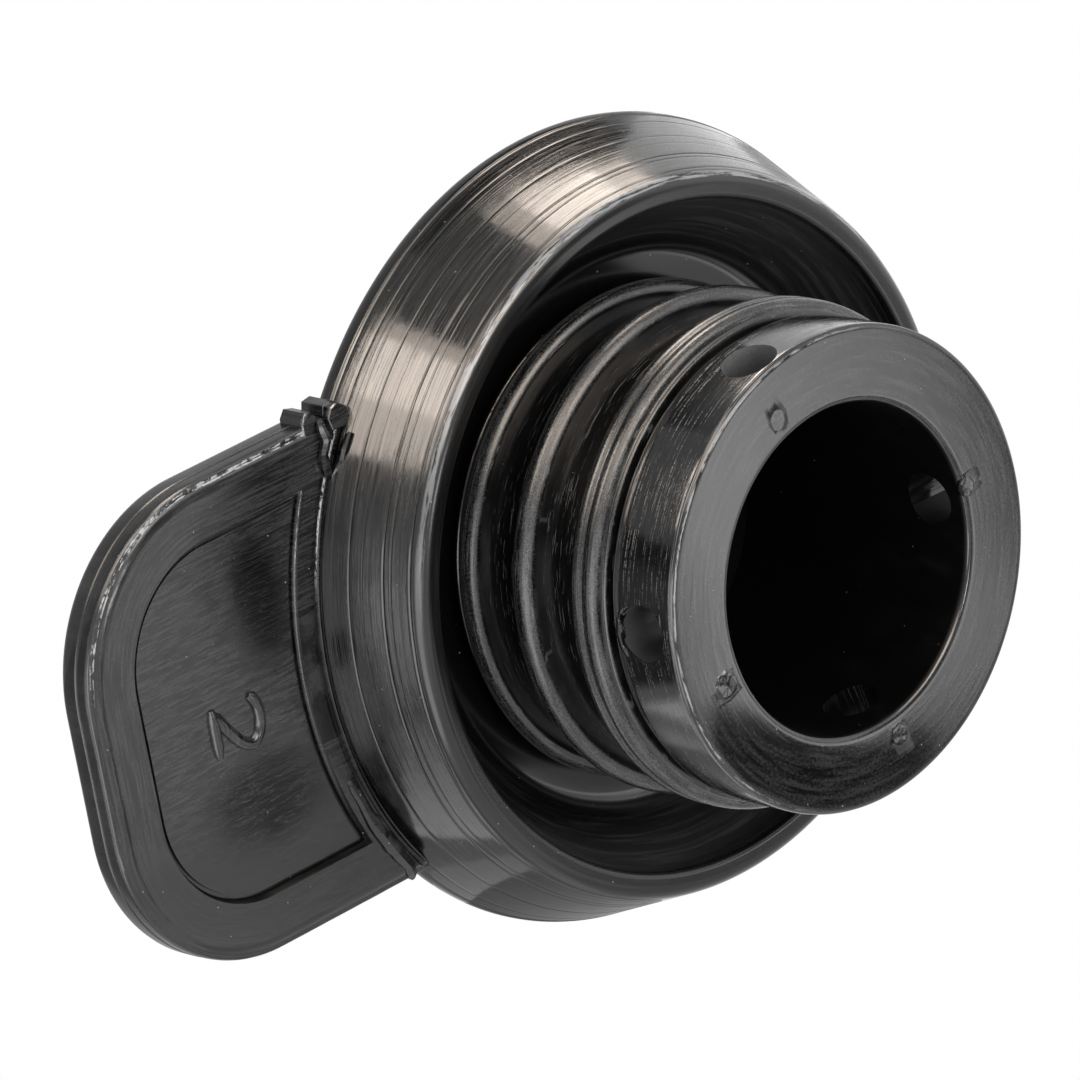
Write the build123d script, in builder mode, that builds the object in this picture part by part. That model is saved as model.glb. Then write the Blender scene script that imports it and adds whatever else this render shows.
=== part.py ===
from build123d import *
import os

# Push-in oil filler cap, moulded in one piece.
# The back of its head lies on Z = 0 and the hollow plug stands up along +Z.
# The flat grip tab reaches out along +X. All sizes are in millimetres.

# Head and its flared skirt. The head radius is where the skirt wall would meet the back face
head_radius = 25.7
back_edge_chamfer = 1.2
skirt_height = 9.1
skirt_rim_radius = 22.4
lip_width = 1.5
lip_outer_round = 1.0
lip_inner_chamfer = 0.4

# Trough between the skirt and the plug. Its wall drops straight from the lip, then slopes in
trough_floor_height = 3.6
trough_foot_radius = 17.6
lip_land = 0.9
trough_corner_chamfer = 0.8

# Hollow plug
cap_height = 22.8
neck_radius = 14.4
neck_root_rise = 0.65
neck_root_run = 1.4
collar_radius = 15.0
collar_height = 4.65
collar_groove_width = 1.0
tip_edge_chamfer = 0.35
bore_radius = 10.2
bore_floor = 3.6
bore_mouth_chamfer = 0.45

# Sealing ribs round the plug: two narrow ones and a wide one under the collar
rib_crest_radius = 15.7
rib_crest_chamfer = 0.35
rib_width = 1.65
top_rib_width = 2.5
low_rib_gap = 0.8
rib_pitch = 4.95

# Two cross holes through the collar, which open four ports into the bore
port_radius = 1.8
port_drop = 2.7
port_angles = (-4, -79)

# Flat grip tab, which starts inside the solid head
tab_root = 17.0
tab_reach = 43.2
tab_width = 30.4
tab_thickness = 2.6
tab_corner_radius = 11.1
tab_front_round = 0.8
tab_back_chamfer = 0.4

# Shallow panel sunk into the tab's front
panel_depth = 0.45
panel_rim = 3.6
panel_corner_radius = 7.5
panel_root_land = 1.6
panel_edge_chamfer = 0.3

os.makedirs("parts", exist_ok=True)

# The trough takes its width from the skirt's rim
lip_inner_radius = skirt_rim_radius - lip_width

# The narrow ribs are set from the trough floor, and the wide one and the ports from the tip
low_rib_height = trough_floor_height + low_rib_gap
middle_rib_height = low_rib_height + rib_pitch
top_rib_height = cap_height - collar_height - collar_groove_width - top_rib_width
port_height = cap_height - port_drop

# The panel stops short of the skirt wall
wall_taper = (head_radius - skirt_rim_radius) / skirt_height
wall_radius_at_tab = head_radius - wall_taper * tab_thickness
panel_root_radius = wall_radius_at_tab + panel_root_land


# Grip tab: a flat plate with large round corners and a shallow sunk panel
with BuildPart() as tab:
    with BuildSketch() as tab_outline:
        with Locations((tab_root, 0)):
            Rectangle(tab_reach - tab_root, tab_width, align=(Align.MIN, Align.CENTER))
        fillet(tab_outline.vertices().group_by(Axis.X)[-1], tab_corner_radius)
    extrude(amount=tab_thickness)
    fillet(tab.faces().sort_by(Axis.Z)[-1].outer_wire().edges(), tab_front_round)
    chamfer(tab.faces().sort_by(Axis.Z)[0].outer_wire().edges(), tab_back_chamfer)
    with BuildSketch(Plane.XY.offset(tab_thickness)) as panel_outline:
        Rectangle(tab_reach - panel_rim, tab_width - 2 * panel_rim, align=(Align.MIN, Align.CENTER))
        fillet(panel_outline.vertices().group_by(Axis.X)[-1], panel_corner_radius)
        Circle(panel_root_radius, mode=Mode.SUBTRACT)
    extrude(amount=-panel_depth, mode=Mode.SUBTRACT)
    panel_mouth = tab.faces().sort_by(Axis.Z)[-1].inner_wires()[0]
    chamfer(panel_mouth.edges(), panel_edge_chamfer)

with BuildPart() as cap:
    # Head: a flat back, a flared skirt wall and an open trough, turned about Z
    with BuildSketch(Plane.XZ) as head_section:
        with BuildLine():
            Polyline(
                (0, 0),
                (head_radius, 0),
                (skirt_rim_radius, skirt_height),
                (lip_inner_radius, skirt_height),
                (lip_inner_radius, skirt_height - lip_land),
                (trough_foot_radius, trough_floor_height),
                (0, trough_floor_height),
                close=True,
            )
        make_face()
        back_corner = head_section.vertices().group_by(Axis.Y)[0].sort_by(Axis.X)[-1]
        chamfer(back_corner, back_edge_chamfer)
        lip_outside = head_section.vertices().group_by(Axis.Y)[-1].sort_by(Axis.X)[-1]
        fillet(lip_outside, lip_outer_round)
        lip_inside = head_section.vertices().group_by(Axis.Y)[-1].sort_by(Axis.X)[0]
        chamfer(lip_inside, lip_inner_chamfer)
        floor_line = head_section.vertices().filter_by_position(
            Axis.Y, trough_floor_height - 0.01, trough_floor_height + 0.01
        )
        chamfer(floor_line.sort_by(Axis.X)[-1], trough_corner_chamfer)
    revolve(axis=Axis.Z)

    # Plug: neck, three ribs and the collar at the tip
    with BuildSketch(Plane.XZ) as plug_section:
        Rectangle(neck_radius, cap_height, align=(Align.MIN, Align.MIN))
        with Locations((0, low_rib_height), (0, middle_rib_height)):
            Rectangle(rib_crest_radius, rib_width, align=(Align.MIN, Align.MIN))
        with Locations((0, top_rib_height)):
            Rectangle(rib_crest_radius, top_rib_width, align=(Align.MIN, Align.MIN))
        with Locations((0, cap_height - collar_height)):
            Rectangle(collar_radius, collar_height, align=(Align.MIN, Align.MIN))
        chamfer(plug_section.vertices().group_by(Axis.X)[-1], rib_crest_chamfer)
    revolve(axis=Axis.Z)

    # Slope where the neck rises from the trough floor, as wide as the ribs that hang over it
    floor_circles = (
        cap.edges()
        .filter_by(GeomType.CIRCLE)
        .filter_by_position(Axis.Z, trough_floor_height - 0.01, trough_floor_height + 0.01)
        .sort_by(SortBy.RADIUS)
    )
    trough_floor = cap.faces().filter_by(GeomType.PLANE).filter_by_position(
        Axis.Z, trough_floor_height - 0.01, trough_floor_height + 0.01
    )
    chamfer(floor_circles[0], neck_root_run, neck_root_rise, reference=trough_floor[0])

    # Blind bore up the plug
    with Locations((0, 0, cap_height)):
        Hole(bore_radius, depth=cap_height - bore_floor)
    tip_circles = (
        cap.edges()
        .filter_by(GeomType.CIRCLE)
        .filter_by_position(Axis.Z, cap_height - 0.01, cap_height + 0.01)
        .sort_by(SortBy.RADIUS)
    )
    chamfer(tip_circles[0], bore_mouth_chamfer)
    chamfer(tip_circles[-1], tip_edge_chamfer)

    # Ports through the collar wall
    for angle in port_angles:
        port_direction = Vector(1, 0, 0).rotate(Axis.Z, angle)
        with BuildSketch(Plane(origin=(0, 0, port_height), z_dir=port_direction)):
            Circle(port_radius)
        extrude(amount=collar_radius + 1, both=True, mode=Mode.SUBTRACT)

    # The tab runs into the skirt and is moulded with it
    add(tab.part)

cap.part.label = "oil_filler_cap"
export_step(cap.part, "parts/oil_filler_cap.step")
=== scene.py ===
"""Looks of a push-in oil filler cap, one rubber moulding with a ribbed plug and a grip tab."""

import math

import bmesh
import bpy
import numpy as np
from mathutils import Matrix, Vector

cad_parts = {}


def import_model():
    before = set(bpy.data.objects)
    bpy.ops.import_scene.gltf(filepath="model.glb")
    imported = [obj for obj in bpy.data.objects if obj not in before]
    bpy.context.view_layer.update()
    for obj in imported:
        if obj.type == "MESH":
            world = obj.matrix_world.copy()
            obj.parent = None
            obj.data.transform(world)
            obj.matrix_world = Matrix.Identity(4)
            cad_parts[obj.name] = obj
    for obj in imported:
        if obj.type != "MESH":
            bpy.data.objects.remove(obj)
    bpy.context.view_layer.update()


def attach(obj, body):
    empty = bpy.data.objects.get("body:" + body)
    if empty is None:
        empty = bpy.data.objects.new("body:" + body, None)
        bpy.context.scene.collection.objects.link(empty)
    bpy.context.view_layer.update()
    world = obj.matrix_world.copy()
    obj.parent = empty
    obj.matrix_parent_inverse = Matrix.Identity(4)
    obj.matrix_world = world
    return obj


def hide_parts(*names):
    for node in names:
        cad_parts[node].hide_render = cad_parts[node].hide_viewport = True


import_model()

MM = 0.001

# Points round the axis
AROUND = 240

# Back: flat in the middle, with a soft bellied corner into the wall. All sizes are in millimetres
BACK_RINGS = (8.0, 16.0, 21.0, 23.2)
BACK_FLAT_RADIUS = 23.7
BACK_CORNER = (25.62, 0.04)

# Skirt wall and lip
WALL_BASE_RADIUS = 25.7
WALL_SLOPE = 0.3626
WALL_START = 1.52
WALL_STEP = 0.16
WIDEST_WALL_GAP = 0.25
LEAST_WALL_STEP = 0.02
LIP_HEIGHT = 9.1
LIP_ROUND = 1.0
LIP_ROUND_CENTRE = (21.70, 8.10)
LIP_INNER_ROUND = 0.3
LIP_INNER_RADIUS = 20.9

# Turned lines in the skirt wall: height, depth, width
TURNED_LINES = [
    (1.62, 0.060, 0.34), (2.56, 0.016, 0.18), (4.34, 0.016, 0.16),
    (6.56, 0.028, 0.20), (7.00, 0.014, 0.15), (8.24, 0.036, 0.20),
]

# How far the lines drift up and down, how much their depth changes, and how wavy the wall is
LINE_WANDER = 0.045
LINE_SWELL = 0.35
WALL_WAVE = 0.006
WAVY_HEIGHTS = (1.9, 8.1)

# Dark lines in the skirt's finish: height, strength
SKIRT_LINES = (
    (1.5, 1.0), (2.56, 0.5), (2.94, 0.3), (3.28, 0.4), (4.34, 0.6), (5.22, 0.6),
    (5.68, 0.3), (6.56, 1.0), (7.0, 0.5), (7.64, 0.3), (8.3, 1.0),
)
SKIRT_LINE_WIDTH = 0.07

# Trough: its wall drops from the lip, then slopes in to a narrow floor
TROUGH_FLOOR = 3.6
TROUGH_FOOT_RADIUS = 17.6
TROUGH_CORNER = 0.9
TROUGH_FLOOR_RINGS = (16.0, 15.4)
TROUGH_SLOPE_RISES = (2.0, 1.2, 0.5)
LIP_LAND = 0.9
LAND_BEND = (0.45, 0.9)

# Plug. A narrow rib is given by the radius and height of its round's centre and by its round
NECK_RADIUS = 14.4
NECK_ROOT_ROUND = 0.45
LOW_RIB = (14.69, 5.20, 0.81)
MIDDLE_RIB = (14.84, 10.14, 0.86)
LOW_NECK_RINGS = (7.0, 8.0)
HIGH_NECK_RINGS = (12.0, 13.0, 13.9)

# Wide top rib: two rounds with a hollow between them, then a lip that folds down to the neck
TOP_RIB_ROUND = 0.6
TOP_RIB_CENTRE_RADIUS = 15.1
TOP_RIB_HEIGHTS = (15.20, 16.13)
TOP_RIB_HOLLOW = 15.562
TOP_RIB_ARC = 37
TOP_RIB_FOLD = [
    (15.02, 16.76), (14.95, 16.83), (14.97, 16.91), (15.07, 16.98), (15.10, 17.05),
    (15.06, 17.13), (14.98, 17.18), (14.6, 17.2), (14.46, 17.24),
]

# Collar and tip face
GROOVE_HEIGHTS = (17.36, 17.98)
GROOVE_CORNER = (14.44, 18.10)
COLLAR_FOOT_RADIUS = 14.54
COLLAR_RADIUS = 15.0
COLLAR_START = 18.15
COLLAR_ROUND = 0.2
COLLAR_RINGS = (18.5, 19.5, 20.7, 21.7, 22.3)
TIP_HEIGHT = 22.8
TIP_ROUND = 0.35
TIP_RINGS = (14.5, 13.2, 12.0)

# Bore
MOUTH_ROUND = 0.45
BORE_RADIUS = 10.2
BORE_FLOOR = 3.6
BORE_RINGS = (22.2, 20.8, 18.4, 15.6, 12.0, 8.0, 4.2)
BORE_FLOOR_RING = 5.0

# Cross holes through the collar: azimuth and height of the near mouth and of the far one
PORTS = [((-5.3, 20.15), (181.0, 19.8)), ((-77.5, 20.75), (99.5, 18.9))]
PORT_RADIUS = 1.75
PORT_OVERSHOOT = (2.0, 6.8)

# Grip tab
TAB_ROOT = 16.9
TAB_REACH = 43.2
TAB_HALF_WIDTH = 15.2
TAB_CORNER_ROUND = 11.1
TAB_UNDERSIDE = 0.03
TAB_STEP = 0.35

# The tab's edge from below, as inset and height: a side with a parting line, an arris with a
# fine double line, and a soft shoulder
TAB_EDGE = [
    (1.2, 0.0), (0.42, 0.0), (0.2, 0.05), (0.06, 0.18), (0.0, 0.42), (0.0, 1.0),
    (0.0, 1.28), (0.05, 1.33), (0.07, 1.40), (0.03, 1.46), (0.03, 1.6), (0.03, 2.0),
    (0.05, 2.2), (0.10, 2.32), (0.18, 2.385), (0.28, 2.40), (0.36, 2.385), (0.44, 2.40),
    (0.54, 2.465), (0.68, 2.53), (0.88, 2.578), (1.1, 2.597), (1.3, 2.6), (3.0, 2.6),
]
RAGGED_HEIGHTS = (2.1, 2.59)
RAGGED = 0.018

# Sunk panel
PANEL_RIM = 3.6
PANEL_CORNER_ROUND = 7.5
PANEL_ROOT_RADIUS = 26.6
PANEL_FLOOR = 2.2

# The panel's wall down to its floor, as inset and height, with a slit at its foot
PANEL_WALL = [
    (-0.14, 3.0), (-0.10, 2.66), (-0.03, 2.59), (0.04, 2.52),
    (0.10, 2.40), (0.17, 2.29), (0.20, 2.0), (0.44, 2.0),
    (0.46, PANEL_FLOOR), (1.2, PANEL_FLOOR), (2.4, PANEL_FLOOR), (4.0, PANEL_FLOOR),
]

# Groove and ridge where the tab meets the skirt: radius, height, round, half angle, flatness
ROOT_GROOVE = (25.03, 2.62, 0.22, 40, 1.0)
ROOT_RIDGE = (25.55, 2.52, 0.32, 33, 0.35)

# Plain moulded number in the panel
NUMBER_CENTRE = (32.2, 0.5)
NUMBER_LENGTH = 3.6
NUMBER_WIDTH = 3.3
NUMBER_STROKE = (0.80, 0.36)

# Gate marks on the tip face: name, place, radius, height, seed
GATE_MARKS = [
    ("gate_upper", (3.64, -11.21), 0.72, 0.022, 5),
    ("gate_bore", (-10.62, -1.32), 0.70, 0.05, 6),
    ("gate_left", (11.39, 2.92), 0.95, 0.10, 7),
    ("gate_low", (-1.68, 11.58), 0.76, 0.04, 8),
]

# Rings of a gate mark: share of its radius, share of its height
GATE_RINGS = [(1.0, -3.0), (1.0, 0.0), (0.94, 0.5), (0.84, 0.8), (0.6, 0.6), (0.25, 0.5)]

# Torn lumps at the tab's upper corner: top, outline. They have one foot
TORN_FOOT = 0.5
TORN_BLOCKS = [
    (2.5, [(21.9, -14.4), (23.2, -14.5), (23.1, -15.5), (22.7, -16), (22.0, -15.8), (21.8, -15.2)]),
    (2.9, [(19.4, -14.2), (21.3, -14.3), (21.4, -15.1), (21.2, -15.9), (20.5, -16), (19.6, -15.4)]),
]

# Torn flash: name, seed, spine of (x, y, z, half width, half height)
FLASH = [
    ("fold_left", 21, [
        (22.0, -15.2, 2.7, 0.35, 0.35), (21.8, -14.0, 2.8, 0.3, 0.35),
        (22.2, -13.2, 2.8, 0.3, 0.3), (22.2, -12.5, 2.75, 0.35, 0.3),
        (21.9, -11.4, 2.6, 0.25, 0.2),
    ]),
    ("fold_right", 24, [
        (20.3, -14.0, 3.4, 0.3, 0.25), (20.9, -13.1, 3.2, 0.25, 0.25),
        (21.1, -12.4, 3.0, 0.25, 0.25), (21.8, -11.5, 2.65, 0.2, 0.2),
    ]),
    ("flash_lower", 22, [
        (24.9, 6.6, 2.5, 0.3, 0.15), (24.5, 8.0, 2.55, 0.4, 0.25),
        (24.0, 9.5, 2.6, 0.45, 0.3), (23.3, 11.1, 2.6, 0.5, 0.35),
        (22.4, 12.8, 2.6, 0.55, 0.4), (21.5, 14.2, 2.5, 0.45, 0.4),
        (21.1, 15.3, 2.2, 0.4, 0.45),
    ]),
    ("port_flash", 23, [
        (14.75, -3.0, 19.1, 0.22, 0.16), (14.85, -2.6, 18.65, 0.3, 0.22),
        (14.92, -2.0, 18.36, 0.32, 0.24), (14.98, -1.2, 18.26, 0.32, 0.24),
        (15.0, -0.4, 18.36, 0.28, 0.22), (15.0, 0.3, 18.6, 0.2, 0.16),
    ]),
]
FLASH_STEP = 0.4
FLASH_SIDES = 7

# Grey levels of the rubber: clean, scuffed, worn through to light, and its dust. The worn grey also
# paints light and highlights on some edges and in the ports
CLEAN = 0.002
SCUFFED = 0.022
WORN_AND_PAINTED_LIGHT_GREY = 0.6
DUST = 0.3

# Directions, as cosine and sine: to the tab's torn corner, and to the side where the collar and tip
# edges get a painted highlight, partly wear
TORN_SIDE = (0.872, -0.489)
HIGHLIGHT_AND_WEAR_SIDE = (0.9, -0.44)

# Two polished patches in the panel: centre and half sizes
POLISHED_UPPER = ((28.9, -6.0), (2.5, 4.6))
POLISHED_LOWER = ((30.4, 5.6), (6.0, 3.4))

# Limits of the tab's finishes: its top, and the radius and half width of its dull root
TAB_CEILING = 3.2
ROOT_RADIUS = 25.95
ROOT_HALF_WIDTH = 14.5

# Sharp edges start at this angle between two faces, in degrees
SHARP_ANGLE = 38

# Tints of the studio light
WHITE = (1.0, 1.0, 1.0)
WARM = (1.0, 0.88, 0.775)

# Heights of the cards that the flat faces mirror, and of those on the floor
MIRROR_LEVEL = 122.8
FLOOR_LEVEL = 0.3

# Outline of the unlit place that the tip face mirrors
FACE_FLAG = [
    (-2.4, 12.5), (-4.9, 14.1), (-7.2, 15.7), (-9.1, 17.2), (-13.1, 19.7),
    (-15.7, 20.3), (-18.9, 20.3), (-20.0, 22.6), (-17.2, 23.7), (-13.0, 23.9),
    (-7.9, 22.6), (-4.1, 19.6), (-1.8, 15.8),
]

TAB_SHADE = [(-71, 42), (-63.5, 44), (-62.5, 59), (-57, 62), (-58, 73), (-71, 76)]
ZENITH_SHADE = [(-2, -60), (-2, 80), (-29.9, 80), (-29.9, 19.9), (-105, 19.9), (-105, -60)]


def rectangle(x, y):
    """Outline between two x and two y."""
    return [(x[0], y[0]), (x[0], y[1]), (x[1], y[1]), (x[1], y[0])]


# Level cards over the object: name, outline, height, strength
OVERHEAD_CARDS = [
    ("face_card", rectangle((-71, -86), (20, 66)), MIRROR_LEVEL, 4.4),
    ("face_card_top", rectangle((-86, -105.5), (20, 48)), MIRROR_LEVEL, 2.9),
    ("face_card_far", rectangle((-86, -105.5), (48, 66)), MIRROR_LEVEL, 3.5),
    ("face_flag", FACE_FLAG, 40, 0.0),
    ("tab_card", rectangle((-30, -71), (20, 100)), MIRROR_LEVEL, 1.7),
    ("tab_shade", TAB_SHADE, 120, 0.2),
    ("trough_shade", rectangle((-80, -106), (66, 90)), MIRROR_LEVEL, 0.2),
    ("trough_shade_far", rectangle((-105.5, -119.5), (30, 60)), MIRROR_LEVEL, 0.2),
    ("zenith_shade", ZENITH_SHADE, MIRROR_LEVEL + 0.1, 0.45),
    ("top_card", rectangle((0, 16), (-12, 6)), MIRROR_LEVEL, 14),
]

# Cards in the surroundings: name, azimuths and elevations in degrees, strength, tint
FAR_DISTANCE = 450
FAR_CARDS = [
    ("camera_side", (-40, -12), (16, 64), 1.0, WHITE),
    ("front_card", (-12, 42), (8, 33), 5.0, WHITE),
    ("front_card_high", (-12, 12), (33, 50), 7.2, WHITE),
    ("front_fill", (12, 42), (33, 60), 2.0, WHITE),
    ("dark_side", (100, 160), (0, 40), 0.9, WHITE),
    ("key_box", (-100, -60), (38, 64), 11.5, WARM),
    ("key_corner", (-60, -46), (46, 62), 8.0, WARM),
    ("key_box_low", (-80, -42), (2, 38), 6.5, WARM),
    ("side_box", (-120, -100), (32, 62), 7.5, WARM),
    ("side_fill", (-140, -120), (40, 70), 3.6, WHITE),
    ("far_fill", (-180, -140), (25, 60), 2.2, WHITE),
]

# Upright cards beside the skirt, which give its two light bands: name, foot, strength
WALL_CARD_HEIGHT = 10
WALL_CARDS = [
    ("key_wall_left", [(21.2, -33.6), (23.2, -32.4)], 8),
    ("key_wall", [(23.2, -32.4), (26.4, -30.0), (29.4, -27.2)], 17),
    ("key_wall_right", [(29.4, -27.2), (31.8, -24.6), (34.0, -21.4)], 11),
    ("side_wall_left", [(4.0, -38.1), (0, -37.5)], 8),
    ("side_wall", [(0, -37.5), (-5, -36.4), (-10, -34.4)], 17),
    ("side_wall_right", [(-10, -34.4), (-14, -32)], 9),
]

# Cards on the floor: name, outline, height, strength
TABLE_SHADE = [(-10, -20), (-10, -400), (900, -400), (900, 400), (20, 400), (20, 20)]
FLOOR_CARDS = [
    ("upper_pool", [(-11, -20), (-11, -34), (-40, -60), (-60, -40), (-30, -10)], 0.25, 1.8),
    ("front_pool_0", rectangle((46.5, 92), (-28, -17)), FLOOR_LEVEL, 1.4),
    ("front_pool_1", rectangle((46.5, 92), (-17, -7)), FLOOR_LEVEL, 2.4),
    ("front_pool_2", rectangle((46.5, 92), (-7, 10)), FLOOR_LEVEL, 3.4),
    ("front_pool_3", rectangle((46.5, 92), (10, 20)), FLOOR_LEVEL, 2.8),
    ("front_pool_low", [(24, 20), (50, 20), (56, 40), (24, 40)], FLOOR_LEVEL, 2.2),
    ("tab_foot", rectangle((43, 46.4), (-20, 16)), 0.25, 0.45),
    ("collar_shade", rectangle((-12, 12), (-26, -33.5)), FLOOR_LEVEL, 0.15),
    ("collar_shade_far", [(-17.5, -19.5), (-24.5, -17.5), (-27, -9), (-24, -9)], FLOOR_LEVEL, 0.6),
    ("under_pool", rectangle((0, 16), (12, 48)), FLOOR_LEVEL, 0.4),
]

# Camera: where it stands, and the directions of its picture's right, down and ahead
CAMERA_PLACE = (415.582, -239.542, 480.498)
CAMERA_RIGHT = (-0.70464, 0.17125, 0.68859)
CAMERA_DOWN = (0.36549, 0.91939, 0.14536)
CAMERA_AHEAD = (-0.60819, 0.35410, -0.71043)
CAMERA_LENS = 366.67
CAMERA_SENSOR = 36.0


# Meshes


def arc(centre, radius, start, end, steps):
    """Points of a round from one angle to another, in degrees."""
    angles = np.radians(np.linspace(start, end, steps + 1))
    return [(centre[0] + radius * math.cos(a), centre[1] + radius * math.sin(a)) for a in angles]


def bend(start, corner, end, steps):
    """Points of a soft corner between two directions."""
    points = []
    for t in np.linspace(0, 1, steps + 1):
        shares = ((1 - t) ** 2, 2 * t * (1 - t), t * t)
        corners = (start, corner, end)
        points.append(tuple(sum(s * p[k] for s, p in zip(shares, corners)) for k in (0, 1)))
    return points


def wander(seed, amount):
    """A slow closed wobble round the axis, one value for each step."""
    random = np.random.RandomState(seed)
    turn = np.linspace(0, 2 * math.pi, AROUND, endpoint=False)
    total = np.zeros(AROUND)
    for wave in range(1, 9):
        share = random.uniform(0.3, 1.0) / wave
        total += share * np.sin(wave * turn + random.uniform(0, 2 * math.pi))
    return amount * total


def mesh_piece(name, points, faces):
    """A closed mesh from points in millimetres, with its faces turned outwards."""
    mesh = bpy.data.meshes.new(name)
    mesh.from_pydata([Vector(p) * MM for p in points], [], faces)
    work = bmesh.new()
    work.from_mesh(mesh)
    bmesh.ops.remove_doubles(work, verts=work.verts, dist=1e-7)
    bmesh.ops.recalc_face_normals(work, faces=work.faces)
    work.to_mesh(mesh)
    work.free()
    return place_object(name, mesh)


def place_object(name, data):
    """A new object in the scene."""
    made = bpy.data.objects.new(name, data)
    bpy.context.scene.collection.objects.link(made)
    return made


def loft(name, loops, closed=True):
    """A closed mesh through loops of equal length, with flat ends. Open loops get a flat side."""
    count = len(loops[0])
    points = [p for loop in loops for p in loop]
    faces = []
    for i in range(len(loops) - 1):
        for j in range(count if closed else count - 1):
            k = (j + 1) % count
            faces.append((i * count + j, i * count + k, (i + 1) * count + k, (i + 1) * count + j))
    last = (len(loops) - 1) * count
    faces.append(tuple(range(count)))
    faces.append(tuple(range(last, last + count)))
    if not closed:
        starts = [i * count for i in range(len(loops))]
        ends = [i * count + count - 1 for i in range(len(loops))]
        faces.append(tuple(starts + ends[::-1]))
    return mesh_piece(name, points, faces)


def apply_modifiers(piece):
    """Puts what the modifiers make into the piece's own mesh."""
    depsgraph = bpy.context.evaluated_depsgraph_get()
    mesh = bpy.data.meshes.new_from_object(piece.evaluated_get(depsgraph))
    piece.modifiers.clear()
    piece.data = mesh


def combine(piece, other, operation):
    """Joins the other solid to the piece, or cuts it away, and removes it."""
    boolean = piece.modifiers.new("join", "BOOLEAN")
    boolean.operation = operation
    boolean.solver = "MANIFOLD"
    boolean.object = other
    apply_modifiers(piece)
    bpy.data.objects.remove(other)


def tube(name, path, section):
    """A closed mesh along a level path. The section gives each step's (across, up) offsets."""
    loops = []
    for i, place in enumerate(path):
        ahead, behind = path[min(i + 1, len(path) - 1)], path[max(i - 1, 0)]
        along = Vector((ahead[0] - behind[0], ahead[1] - behind[1], 0)).normalized()
        across = Vector((-along.y, along.x, 0))
        middle = Vector(place[:3])
        loops.append([tuple(middle + across * u + Vector((0, 0, v))) for u, v in section(i)])
    return loft(name, loops)


# Head and plug


def skirt_wall():
    """Wall heights and the depth cut there, close together where a line is turned into the wall."""
    cuts = {WALL_START: 0.0}
    for height, depth, width in TURNED_LINES:
        for share in np.linspace(-1, 1, 9):
            cut = depth * (0.5 + 0.5 * math.cos(math.pi * share))
            cuts[round(height + share * width / 2, 4)] = cut
    top = LIP_ROUND_CENTRE[1] + LIP_ROUND * math.sin(math.atan(WALL_SLOPE))
    heights = sorted(cuts)
    gaps = [(a, b) for a, b in zip(heights, heights[1:] + [top]) if b - a > WIDEST_WALL_GAP]
    for low, high in gaps:
        for height in np.linspace(low, high, 2 + int((high - low) / WALL_STEP))[1:-1]:
            cuts[round(height, 4)] = 0.0
    return [(h, cuts[h]) for h in sorted(cuts) if h < top - LEAST_WALL_STEP]


def back_section():
    """Flat back and its soft corner."""
    wall_start = (WALL_BASE_RADIUS - WALL_SLOPE * WALL_START, WALL_START)
    corner = bend((BACK_FLAT_RADIUS, 0), BACK_CORNER, wall_start, 9)
    return [(radius, 0) for radius in BACK_RINGS] + corner[:-1]


def lip_section():
    """Lip, from its outer round over its flat to its inner round."""
    wall_angle = math.degrees(math.atan(WALL_SLOPE))
    inner = LIP_INNER_RADIUS + LIP_INNER_ROUND
    section = arc(LIP_ROUND_CENTRE, LIP_ROUND, wall_angle, 90, 9)
    section += [(LIP_ROUND_CENTRE[0] - 0.15, LIP_HEIGHT), (inner + 0.08, LIP_HEIGHT)]
    return section + arc((inner, LIP_HEIGHT - LIP_INNER_ROUND), LIP_INNER_ROUND, 90, 180, 5)


def trough_section():
    """Trough, from the land under the lip down its slope and over its floor to the neck."""
    land = LIP_HEIGHT - LIP_LAND
    slope = (LIP_INNER_RADIUS - TROUGH_FOOT_RADIUS) / (land - TROUGH_FLOOR)
    above, below = LAND_BEND
    section = bend(
        (LIP_INNER_RADIUS, land + above),
        (LIP_INNER_RADIUS, land),
        (LIP_INNER_RADIUS - slope * below, land - below),
        7,
    )
    foot = (TROUGH_FOOT_RADIUS + slope * TROUGH_CORNER, TROUGH_FLOOR + TROUGH_CORNER)
    section += [(foot[0] + slope * rise, foot[1] + rise) for rise in TROUGH_SLOPE_RISES]
    floor_start = (TROUGH_FOOT_RADIUS - TROUGH_CORNER, TROUGH_FLOOR)
    section += bend(foot, (TROUGH_FOOT_RADIUS, TROUGH_FLOOR), floor_start, 10)
    section += [(radius, TROUGH_FLOOR) for radius in TROUGH_FLOOR_RINGS]
    root = NECK_ROOT_ROUND
    return section + arc((NECK_RADIUS + root, TROUGH_FLOOR + root), root, -90, -180, 5)


def rib(centre_radius, centre_height, radius):
    """A half-round rib on the neck, from its head side to its tip side."""
    crest = arc((centre_radius, centre_height), radius, -90, 90, 14)
    return [(NECK_RADIUS, centre_height - radius)] + crest + [(NECK_RADIUS, centre_height + radius)]


def neck_section():
    """Neck with its three ribs, up to the groove under the collar."""
    section = rib(*LOW_RIB)
    section += [(NECK_RADIUS, z) for z in LOW_NECK_RINGS]
    section += rib(*MIDDLE_RIB)
    section += [(NECK_RADIUS, z) for z in HIGH_NECK_RINGS]
    low, high = TOP_RIB_HEIGHTS
    section += [(NECK_RADIUS, low - TOP_RIB_ROUND)]
    section += arc((TOP_RIB_CENTRE_RADIUS, low), TOP_RIB_ROUND, -90, TOP_RIB_ARC, 10)
    section += [(TOP_RIB_HOLLOW, (low + high) / 2)]
    section += arc((TOP_RIB_CENTRE_RADIUS, high), TOP_RIB_ROUND, -TOP_RIB_ARC, 84, 9)
    section += TOP_RIB_FOLD
    section += [(NECK_RADIUS, z) for z in GROOVE_HEIGHTS]
    return section + [GROOVE_CORNER, (COLLAR_FOOT_RADIUS, COLLAR_START)]


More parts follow.
